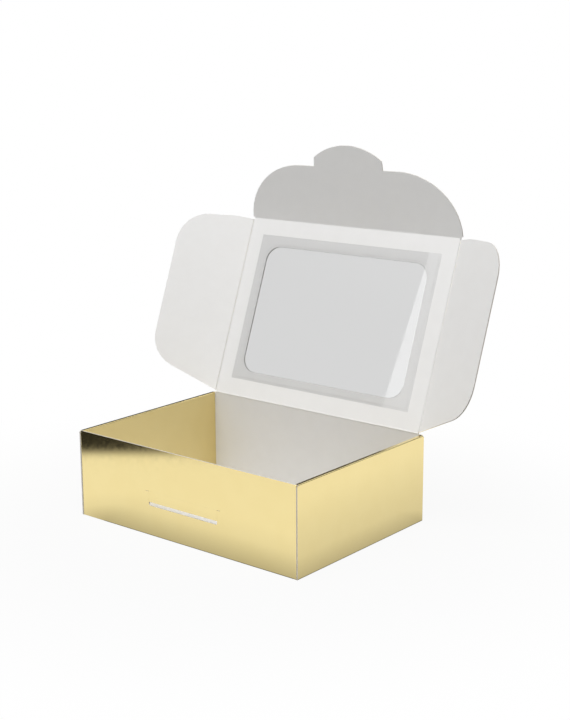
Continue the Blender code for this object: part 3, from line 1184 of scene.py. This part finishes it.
@dataclass
class RolledWall:
    """Double side wall: outer layer, its roll over the top, and inner layer with its two feet.

    Attributes:
        side: Which side wall.
        roll_radius: Outer radius of the rolled top's two folds.
        fold_steps: Segments of each fold.
        foot_steps: Segments of the fold at the outer layer's foot.
        cut_facing: Y and -Z of a normal from which a face is a cut at the ends or at the foot.
    """

    side: Side
    roll_radius: float = 0.0012
    fold_steps: int = 8
    foot_steps: int = 4
    cut_facing: Pair = (0.6, 0.75)

    def build(self, shop: Workshop) -> None:
        """Model, dress and place the wall.

        Args:
            shop: The workshop.
        """
        word = self.side.word
        piece = self._model(shop)
        shop.modify(
            piece,
            "BEVEL",
            width=SIZES.cut_edge,
            segments=SIZES.cut_steps,
            limit_method="ANGLE",
            angle_limit=CUT_ANGLE,
            use_clamp_overlap=True,
        )
        shop.smooth(piece)
        shop.map_board(piece, self._across, self._depth)
        shop.skin(piece, "box", self._skin)
        nodes = (f"{word}_wall_outer", f"{word}_wall_top", f"{word}_wall_inner")
        shop.hand_over(piece, "box", "gold_board", *nodes)

    def _x(self, depth: float) -> float:
        """X of a point at a depth from the wall's outer face."""
        return self.side.value * (SIZES.length / 2 - depth)

    def _model(self, shop: Workshop) -> bpy.types.Object:
        """Shape the wall from one block.

        Args:
            shop: The workshop.

        Returns:
            The mesh, with sharp cut edges.
        """
        inner = X_AXIS * -self.side.value
        board, layer, gap = SIZES.board, SIZES.layer, SIZES.clearance
        half = SIZES.width / 2 - layer
        side_top, top = SIZES.height - layer, SIZES.height
        piece = shop.start(
            f"{self.side.word}_rolled_wall",
            bpy.ops.mesh.primitive_cube_add,
            size=1,
            location=(self._x(board / 2), 0, side_top / 2),
            scale=(board, 2 * half, side_top),
        )
        void = SIZES.wall_stack - 2 * board
        with Bench(piece) as bench:
            bench.faces(Z_AXIS)
            bench.extrude(Z_AXIS * gap)
            bench.faces(Z_AXIS)
            bench.extrude(Z_AXIS * board)
            bench.faces(inner, lambda co: co.z > top - board)
            bench.extrude(inner * void)
            bench.extrude(inner * board)
            bench.faces(-Z_AXIS, lambda co: co.z > top / 2 and self._past(co, board + void))
            bench.extrude(-Z_AXIS * (top - board - layer))
            for end in (-1, 1):
                bench.faces(Y_AXIS * end, lambda co: co.z < side_top and not self._past(co, board))
                bench.extrude(Y_AXIS * end * layer)
            spread, foot = SIZES.foot_spread / 2, SIZES.foot_length / 2
            for middle in (-spread, spread):
                for end in (-1, 1):
                    bench.faces(-Z_AXIS, self._under_inner)
                    bench.cut(Vector((0, middle + end * foot, 0)), Y_AXIS)
            bench.faces(
                -Z_AXIS, lambda co: self._under_inner(co) and abs(abs(co.y) - spread) < foot - HAIR
            )
            bench.extrude(-Z_AXIS * board)
            bench.merge_flats()
            for x in (self._x(0), self._x(SIZES.wall_stack)):
                bench.edges(lambda co: abs(co.x - x) < HAIR and abs(co.z - top) < HAIR)
                bench.round(self.roll_radius, self.fold_steps)
            bench.edges(lambda co: abs(co.x - self._x(0)) < HAIR and abs(co.z) < HAIR)
            bench.round(SIZES.fold_radius, self.foot_steps)
            bench.all()
            bpy.ops.mesh.normals_make_consistent(inside=False)
        return piece

    def _past(self, co: Vector, depth: float) -> bool:
        """Whether a place is deeper in the carton than a depth from the wall's outer face."""
        return SIZES.length / 2 - abs(co.x) > depth

    def _under_inner(self, co: Vector) -> bool:
        """Whether a place is under the inner layer."""
        return co.z < SIZES.near_base and self._past(co, SIZES.board * 1.5)

    def _across(self, co: Vector) -> float:
        """Follow the roll from the outer layer to the inner.

        Args:
            co: A point of the wall.

        Returns:
            Its place across the flutes.
        """
        depth = SIZES.length / 2 - abs(co.x)
        if co.z > SIZES.height - SIZES.board:
            return SIZES.height + depth
        if depth < SIZES.wall_stack / 2:
            return co.z
        return 2 * SIZES.height + SIZES.wall_stack - co.z

    def _depth(self, co: Vector) -> float:
        """Measure the depth in the layer that a point is in.

        Args:
            co: A point of the wall.

        Returns:
            Its distance from the layer's foil side.
        """
        depth = SIZES.length / 2 - abs(co.x)
        if co.z > SIZES.height - SIZES.board - HAIR:
            return SIZES.height - co.z
        return depth if depth < SIZES.wall_stack / 2 else SIZES.wall_stack - depth

    def _skin(self, normal: Vector, place: Vector) -> Skin:
        """Choose foil on all that shows, liner on the hidden sides, core on the cuts.

        Args:
            normal: The face's normal.
            place: Its middle.

        Returns:
            The face's skin.
        """
        to_end, to_foot = self.cut_facing
        if abs(normal.y) > to_end or (normal.z < -to_foot and place.z < SIZES.near_base):
            return Skin.CORE
        depth = SIZES.length / 2 - abs(place.x)
        hidden = SIZES.board - HAIR < depth < SIZES.wall_stack - SIZES.board + HAIR
        return Skin.LINER if hidden and place.z < SIZES.height - SIZES.board / 2 else Skin.FOIL


@dataclass
class ScoredBead:
    """The scored band of a moving crease, a slim bead of board that both panels turn round.

    Attributes:
        node: CAD node that it stands for.
        body: CAD body that it rides on.
        start, end: The two ends of its axis.
        foil_facing: Middle direction of its foil side.
        foil_half: Half of the angle that the foil covers.
        squash: Its thickness across the folded board, as a share of its width.
        sides: Faces round it.
        core: Share of the radius within which its ends show the core.
        end_inset, end_rise, end_round: Rim, bulge and edge radius of its ends, as shares of the
            radius.
        end_steps: Segments of the ends' edges.
    """

    name: str
    node: str
    body: str
    start: Vector
    end: Vector
    foil_facing: Vector
    foil_half: float
    radius: float = 0.00095
    squash: float = 1.0
    sides: int = 36
    core: float = 0.7
    end_inset: float = 0.35
    end_rise: float = 0.12
    end_round: float = 0.2
    end_steps: int = 3

    def build(self, shop: Workshop) -> None:
        """Model, dress and place the bead.

        Args:
            shop: The workshop.
        """
        axis = (self.end - self.start).normalized()
        piece = shop.start(
            self.name,
            bpy.ops.mesh.primitive_cylinder_add,
            vertices=self.sides,
            radius=self.radius,
            depth=(self.end - self.start).length,
            location=(self.start + self.end) / 2,
            rotation=Z_AXIS.rotation_difference(axis).to_euler(),
            scale=(1, self.squash, 1),
        )
        with Bench(piece) as bench:
            for end, away in ((self.start, -axis), (self.end, axis)):
                bench.faces(away)
                bpy.ops.mesh.inset(thickness=self.radius * self.end_inset)
                bench.move(away * self.radius * self.end_rise)
                bench.edges(lambda co: abs((co - end).dot(axis)) < HAIR)
                bench.round(self.radius * self.end_round, self.end_steps)
        shop.smooth(piece)
        shop.map_board(
            piece,
            lambda co: (co - self.start).dot(axis),
            lambda co: self.radius - self._spoke(co, axis).length,
        )
        shop.skin(piece, "lid", lambda normal, place: self._skin(place, axis))
        shop.hand_over(piece, self.body, "white_board", self.node)

    def _spoke(self, place: Vector, axis: Vector) -> Vector:
        """Direction from the axis to a place."""
        from_start = place - self.start
        return from_start - axis * from_start.dot(axis)

    def _skin(self, place: Vector, axis: Vector) -> Skin:
        """Choose foil on the outside of the fold, liner on the inside, core on the ends.

        Args:
            place: The face's middle.
            axis: Direction of the bead.

        Returns:
            The face's skin.
        """
        spoke = self._spoke(place, axis)
        if spoke.length < self.radius * self.core:
            return Skin.CORE
        return Skin.FOIL if spoke.angle(self.foil_facing) < self.foil_half else Skin.LINER


@dataclass
class WindowFilm:
    """Clear film behind the lid's window, one sheet with the window's outline in its mesh.

    Attributes:
        corner_steps: Segments of each round corner.
        inset: Distance inside the window's outline from which a face's middle is in the window.
    """

    corner_steps: int = 12
    inset: float = 0.02

    def build(self, shop: Workshop) -> None:
        """Model, dress and place the film.

        Args:
            shop: The workshop.
        """
        back, front = SIZES.film_low, SIZES.film_high
        rise = SIZES.board / 2 + SIZES.film_gap + SIZES.film / 2
        piece = shop.start(
            "window_film_sheet",
            self._lay,
            size=(2 * SIZES.half_film, front - back, 1),
            location=LID.at(0, (back + front) / 2, rise),
        )
        with Bench(piece) as bench:
            bench.faces(LID.inner)
            bpy.ops.mesh.inset(thickness=SIZES.film_side)
            for run, target in (
                (back + SIZES.film_side, SIZES.window_back),
                (front - SIZES.film_side, SIZES.window_front),
            ):
                bench.points(lambda co: abs(self._run(co) - run) < HAIR)
                bench.move(LID.along * (target - run))
            bench.points(self._on_window)
            bench.round(SIZES.window_radius, self.corner_steps, corners=True)
        shop.modify(piece, "SOLIDIFY", thickness=SIZES.film, offset=0.0)
        for material in shop.finishes.film:
            piece.data.materials.append(material)
        for face in piece.data.polygons:
            face.material_index = int(self._in_window(face.center))
        shop.hand_over(piece, "lid", "clear_film", "window_film")

    def _lay(self, size: Triple, location: Vector) -> None:
        """Add a flat sheet in the lid's plane.

        Args:
            size: Its width, its depth and 1.
            location: Its middle.
        """
        tilt = Matrix((X_AXIS, LID.along, LID.inner)).transposed().to_euler()
        bpy.ops.mesh.primitive_plane_add(size=1, location=location, rotation=tilt)
        bpy.context.active_object.scale = size

    def _run(self, co: Vector) -> float:
        """Distance from the lid's crease."""
        return (co - LID.origin).dot(LID.along)

    def _on_window(self, co: Vector) -> bool:
        """Whether a point is a corner of the window's outline."""
        corners = ((SIZES.half_window, run) for run in (SIZES.window_back, SIZES.window_front))
        return any(is_at((abs(co.x), self._run(co)), corner, HAIR) for corner in corners)

    def _in_window(self, co: Vector) -> bool:
        """Whether a place is inside the window's outline."""
        low, high = SIZES.window_back + self.inset, SIZES.window_front - self.inset
        return abs(co.x) < SIZES.half_window / 2 and low < self._run(co) < high


@dataclass
class BoxTray:
    """The standing box: base, front and back walls, rolled side walls and the flaps held in them.

    Attributes:
        relief: Half of the sharpest angle between the back wall and the lid.
        cut_reach: Distance from the middle that takes in the knife cuts round the lock tab.
        cut_heights: Heights between which these cuts are.
    """

    relief: float = math.radians(44)
    cut_reach: float = 0.0615
    cut_heights: Pair = (0.0428, 0.0565)

    def build(self, shop: Workshop) -> None:
        """Build the tray's pieces.

        Args:
            shop: The workshop.
        """
        gap = SIZES.clearance
        base_y = SIZES.width / 2 - SIZES.layer
        wall_x = SIZES.length / 2 - SIZES.layer
        meet = [(Y_AXIS * sign, base_y, gap) for sign in (1, -1)]
        meet += [(X_AXIS * sign, wall_x, gap) for sign in (1, -1)]
        hinge = CreaseSeat(LID.origin, -Z_AXIS, -Y_AXIS, self.relief, SIZES.hinge_hollow)
        BoardPanel("bottom_panel", "box", -Z_AXIS, X_AXIS, stretch=meet).build(shop)
        front = {"outward": -Y_AXIS, "across": X_AXIS, "keep_sharp": self._on_knife_cut}
        BoardPanel("front_wall", "box", partings=[(Vector(), X_AXIS)], **front).build(shop)
        slack = SIZES.knife_cut - LockTabPanel.play
        half_tab = SIZES.half_slot - SIZES.knife_cut
        grow = [(X_AXIS, half_tab, slack), (-X_AXIS, half_tab, slack)]
        LockTabPanel("front_lock_tab", "lock_tab", stretch=grow, **front).build(shop)
        BoardPanel("back_wall", "box", Y_AXIS, X_AXIS, seats=[hinge]).build(shop)
        for side in Side:
            for end in ("front", "back"):
                node = f"{end}_{side.word}_corner_flap"
                BoardPanel(node, "box", X_AXIS * side.value, Y_AXIS).build(shop)
            RolledWall(side).build(shop)

    def _on_knife_cut(self, place: Vector) -> bool:
        """Whether a point of the front wall or its tab is on the cut round the tab."""
        low, high = self.cut_heights
        return abs(place.x) < self.cut_reach and low < place.z < high


@dataclass
class WindowLid:
    """The lid with its window film, and its crease on the back wall.

    Attributes:
        bead_radius: Radius of the lid crease's bead, which is wider than the flaps'.
        bead_squash: Its thickness, as a share of its width.
    """

    bead_radius: float = 0.0013
    bead_squash: float = 0.85

    def build(self, shop: Workshop) -> None:
        """Build the lid's pieces.

        Args:
            shop: The workshop.
        """
        seats = [
            CreaseSeat(LID.origin, LID.along, LID.inner, hollow=SIZES.hinge_hollow),
            CreaseSeat(CLOSING.origin, -LID.along, LID.inner),
        ]
        for side in Side:
            crease = LID.at(side.value * SIZES.crease_x, 0)
            seats.append(CreaseSeat(crease, -X_AXIS * side.value, LID.inner, SIZES.tuck_relief))
        middle = LID.at(0, (SIZES.window_back + SIZES.window_front) / 2)
        partings = [(middle, X_AXIS), (middle, LID.along)]
        BoardPanel("lid_panel", "lid", -LID.inner, X_AXIS, seats, partings=partings).build(shop)
        reach = SIZES.crease_x - SIZES.bead_end
        ScoredBead(
            "lid_scored_bead",
            "lid_crease",
            "box",
            LID.at(-reach, 0),
            LID.at(reach, 0),
            Y_AXIS,
            math.radians(90),
            radius=self.bead_radius,
            squash=self.bead_squash,
        ).build(shop)
        WindowFilm().build(shop)
        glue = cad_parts["window_glue"]
        glue.data.materials.clear()
        glue.data.materials.append(shop.finishes.glue)
        LOG.info("window_glue keeps its CAD mesh, dressed in dried glue")


@dataclass
class LidFlaps:
    """The lid's two side flaps and its closing flap, each with its scored bead.

    Attributes:
        bead_start: Where a side flap's bead starts, along the lid.
        bead_stop: Where it ends.
        foil_lean: How far the middle of a side bead's foil leans to the flap.
        foil_half: Half of the angle that the foil covers on a side bead.
    """

    bead_start: float = 0.0022
    bead_stop: float = 0.2453
    foil_lean: float = math.radians(37.5)
    foil_half: float = math.radians(97.5)

    def build(self, shop: Workshop) -> None:
        """Build the flaps.

        Args:
            shop: The workshop.
        """
        for side in Side:
            self._side_flap(shop, side)
        seat = CreaseSeat(CLOSING.origin, CLOSING.along, CLOSING.inner)
        BoardPanel("closing_flap", "closing_flap", -CLOSING.inner, X_AXIS, seats=[seat]).build(shop)
        reach = SIZES.crease_x - SIZES.bead_end
        facing = (LID.along - LID.inner).normalized()
        ScoredBead(
            "closing_scored_bead",
            "closing_flap_crease",
            "lid",
            LID.at(-reach, SIZES.lid_depth),
            LID.at(reach, SIZES.lid_depth),
            facing,
            math.radians(90),
        ).build(shop)

    def _side_flap(self, shop: Workshop, side: Side) -> None:
        """Build one side flap and its bead.

        Args:
            shop: The workshop.
            side: Which of the two.
        """
        plane = side_flap_plane(side)
        seat = CreaseSeat(plane.origin, plane.along, plane.inner, SIZES.tuck_relief)
        name = f"{side.word}_lid_flap"
        BoardPanel(name, f"{side.word}_flap", -plane.inner, plane.along, seats=[seat]).build(shop)
        x = side.value * SIZES.crease_x
        bisector = -(plane.inner + LID.inner).normalized()
        towards_flap = (plane.along + X_AXIS * side.value).normalized()
        facing = bisector * math.cos(self.foil_lean) + towards_flap * math.sin(self.foil_lean)
        ScoredBead(
            f"{side.word}_scored_bead",
            f"{side.word}_flap_crease",
            f"{side.word}_crease",
            LID.at(x, self.bead_start),
            LID.at(x, self.bead_stop),
            facing,
            self.foil_half,
        ).build(shop)


# --- Studio ---


@dataclass(frozen=True)
class Softbox:
    """One soft lamp.

    Attributes:
        place, aim: Its middle, and the point that it faces.
        radiance: Brightness of its face, where 1 is paper white.
        lean: Turn about the direction that it faces.
    """

    name: str
    place: Triple
    aim: Triple
    size: Pair
    radiance: float
    lean: float = 0.0

    def hang(self) -> None:
        """Add the lamp."""
        data = bpy.data.lights.new(self.name, "AREA")
        data.shape = "RECTANGLE"
        data.size, data.size_y = self.size
        data.energy = self.radiance * math.pi * self.size[0] * self.size[1]
        lamp = bpy.data.objects.new(self.name, data)
        bpy.context.scene.collection.objects.link(lamp)
        place = Vector(self.place)
        lamp.location = place
        facing = (Vector(self.aim) - place).to_track_quat("-Z", "Y").to_matrix()
        lamp.rotation_euler = (facing @ Matrix.Rotation(self.lean, 3, "Z")).to_euler()
        LOG.info("%s: %.2f x %.2f m, %.0f W", self.name, *self.size, data.energy)


@dataclass
class Studio:
    """Pale floor, plain soft light and the camera.

    Attributes:
        eye, azimuth, elevation, roll: The camera's place, its direction round the carton from the
            front wall's side, how far it looks down, and its roll.
        lens: Focal length for a 36 mm sensor over the picture's long side.
        ambient: Light from all round on matt surfaces, low down and how much more it is high up.
        ring: Brightness near the horizon in mirrored surfaces.
        ring_top: Elevations where mirrored surroundings start to brighten and where they are white.
        sky_top: The same for the light on matt surfaces, which grows from low to high.
        floor_size, floor_drop: Side of the floor, and its depth under the carton.
        backdrop_share: Share of plain white in the camera's floor, near the carton and far away.
        backdrop_reach: Distances from the carton's middle between which the share grows.
        carton_shade: Start and slope of the ramps of the carton's painted shadow, which the table's
        brightness follows in mirrored surfaces, away from the carton.
        right_shade: Start and slope of one more ramp of that painted shadow, on the carton's right
            only.
        right_start: Distance from the right wall over which that ramp sets in.
        right_front: Y between which it sets in, from in front of the carton to its front wall.
        shade_inset: How far the carton's painted shadow stays short of its left end.
        beyond_colour: Colour beyond the table's end.
        table_end: Distances from the carton's middle where the table fades out, but for the camera.
        far_normal: Direction from the carton to the far end of the table.
        far_edge: Distances where mirrored surfaces see the table end, from bright to dark.
    """

    eye: Triple = (1.06718, -1.22901, 0.58489)
    azimuth: float = math.radians(39.4304)
    elevation: float = math.radians(13.1988)
    roll: float = math.radians(-0.3021)
    lens: float = 68.28
    lamps: tuple[Softbox, ...] = (
        Softbox(
            "strip_softbox",
            (-1.128, -1.90, 1.07),
            (-1.128, 0.0, 0.47),
            (0.50, 0.9),
            2.2,
            lean=math.radians(-3.6),
        ),
        Softbox("over_softbox", (0.12, -0.85, 2.35), (0.0, 0.1, 0.2), (2.4, 1.4), 4.0),
        Softbox("right_softbox", (1.5, -1.5, 1.8), (0.0, 0.0, 0.2), (1.2, 1.2), 1.5),
    )
    ambient: Pair = (0.294, 0.252)
    ring: float = 0.03
    ring_top: Pair = (21.0, 33.0)
    sky_top: Pair = (27.0, 42.0)
    floor_size: float = 9.0
    floor_drop: float = 0.0002
    floor_colour: Colour = (0.48, 0.48, 0.48)
    backdrop_share: Pair = (0.93, 1.0)
    backdrop_reach: Pair = (0.22, 0.60)
    carton_shade: tuple[Pair, ...] = ((0.12, 130.0), (0.55, 5.8), (0.80, 1.8))
    right_shade: Pair = (0.735, 1.55)
    right_start: float = 0.012
    right_front: Pair = (-0.20, -SIZES.width / 2)
    shade_inset: float = 0.04
    beyond_colour: Colour = (0.05, 0.05, 0.05)
    table_end: Pair = (0.50, 0.75)
    far_normal: Pair = (-0.623, -0.783)
    far_edge: Pair = (0.440, 0.500)

    def build(self) -> None:
        """Set up the studio."""
        scene = bpy.context.scene
        scene.view_settings.view_transform = "Standard"
        self._camera(scene)
        self._world(scene)
        self._floor()
        for lamp in self.lamps:
            lamp.hang()

    def _camera(self, scene: bpy.types.Scene) -> None:
        """Place the camera of the photograph's view.

        Args:
            scene: The scene.
        """
        data = bpy.data.cameras.new("view")
        data.lens = self.lens
        data.sensor_width = 36.0
        data.sensor_fit = "AUTO"
        data.clip_start, data.clip_end = 0.05, 50.0
        flat = math.cos(self.elevation)
        north, east = math.cos(self.azimuth) * flat, math.sin(self.azimuth) * flat
        back = Vector((east, -north, math.sin(self.elevation)))
        right = (-back).cross(Z_AXIS).normalized()
        up = back.cross(right)
        cosine, sine = math.cos(self.roll), math.sin(self.roll)
        columns = (cosine * right + sine * up, cosine * up - sine * right, back)
        camera = bpy.data.objects.new("view", data)
        scene.collection.objects.link(camera)
        camera.matrix_world = Matrix.Translation(self.eye) @ Matrix(columns).transposed().to_4x4()
        scene.camera = camera

    def _world(self, scene: bpy.types.Scene) -> None:
        """Light the scene from all round, with a plain white backdrop.

        Args:
            scene: The scene.
        """
        world = bpy.data.worlds.new("studio")
        scene.world = world
        mix = Mixture(world, "ShaderNodeOutputWorld")
        _, _, up = mix.split(mix.place("Generated"))
        above, sky = (self._rise(up, top) for top in (self.ring_top, self.sky_top))
        seen, mirrored = mix.rays()
        low, more = self.ambient
        plain = mix.glow("ShaderNodeBackground", low + more * sky)
        gloss = mix.glow("ShaderNodeBackground", above.between(self.ring, 1.0))
        white = mix.glow("ShaderNodeBackground", 1.0)
        mix.finish(mix.choose(seen, mix.choose(mirrored, plain, gloss), white))

    def _rise(self, up: Wire, elevations: Pair) -> Wire:
        """Step of a direction's Z between two elevations in degrees, from 0 to 1."""
        return up.step(*(math.sin(math.radians(angle)) for angle in elevations))

    def _floor(self) -> None:
        """Lay the floor, a plain pale sheet with soft edges; mirrored surfaces see it as a painted
        glow with the carton's shadow painted in.
        """
        bpy.ops.object.select_all(action="DESELECT")
        bpy.ops.mesh.primitive_plane_add(size=self.floor_size, location=(0, 0, -self.floor_drop))
        floor = bpy.context.active_object
        floor.name = "floor"
        bpy.ops.object.transform_apply(location=True)
        mix = Mixture.material("pale_floor")
        seen, mirrored = mix.rays()
        x, y, _ = mix.split(mix.place())
        away = x * self.far_normal[0] + y * self.far_normal[1]
        near = away.step(self.far_edge[1], self.far_edge[0])
        length = {"operation": "LENGTH"}
        middle = mix.node("ShaderNodeVectorMath", length, {0: mix.place()}, give="Value")
        on_table = near * middle.step(self.table_end[1], self.table_end[0])
        paper = mix.blend(on_table, self.beyond_colour, self.floor_colour)
        matt = mix.node("ShaderNodeBsdfDiffuse", values={"Color": paper, "Roughness": 0.4})
        dark = mix.glow("ShaderNodeEmission", self.ring)
        # Mirrored rays see a painted glow: the table with the carton's shadow painted in, dark
        # beyond its far edge.
        table = mix.glow("ShaderNodeEmission", self._table_level(x, y))
        white = mix.glow("ShaderNodeEmission", 1.0)
        share = middle.step(*self.backdrop_reach).between(*self.backdrop_share)
        other = mix.choose(mirrored, matt, mix.choose(near, dark, table))
        looks = mix.choose(seen, other, mix.choose(share, matt, white))
        floor.data.materials.append(mix.finish(looks))

    def _table_level(self, x: Wire, y: Wire) -> Wire:
        """Painted glow of the table in mirrored surfaces, with the carton's shadow painted in as
        darkness round it.

        Args:
            x: Place on the floor.
            y: Place on the floor.

        Returns:
            A number up to 1.
        """
        inset = self.shade_inset / 2
        past_front = (abs(y) - SIZES.width / 2).larger(0.0)
        past_side = (abs(x - inset) - (SIZES.length / 2 - inset)).larger(0.0)
        gap = (past_front * past_front + past_side * past_side).root()
        level: Wire | float = 1.0
        for start, slope in self.carton_shade:
            level = (start + slope * gap).smaller(level)
        start, slope = self.right_shade
        right = (x - SIZES.length / 2).larger(0.0)
        beside = right.step(0.0, self.right_start) * y.step(*self.right_front)
        return (start + slope * right + (1 - beside)).smaller(level)


def main() -> None:
    """Build the carton piece by piece, then the studio."""
    logging.basicConfig(level=logging.INFO, format="%(name)s: %(message)s")
    shop = Workshop(Finishes().mix())
    for assembly in (BoxTray(), WindowLid(), LidFlaps()):
        assembly.build(shop)
    Studio().build()


if __name__ == "__main__":
    main()
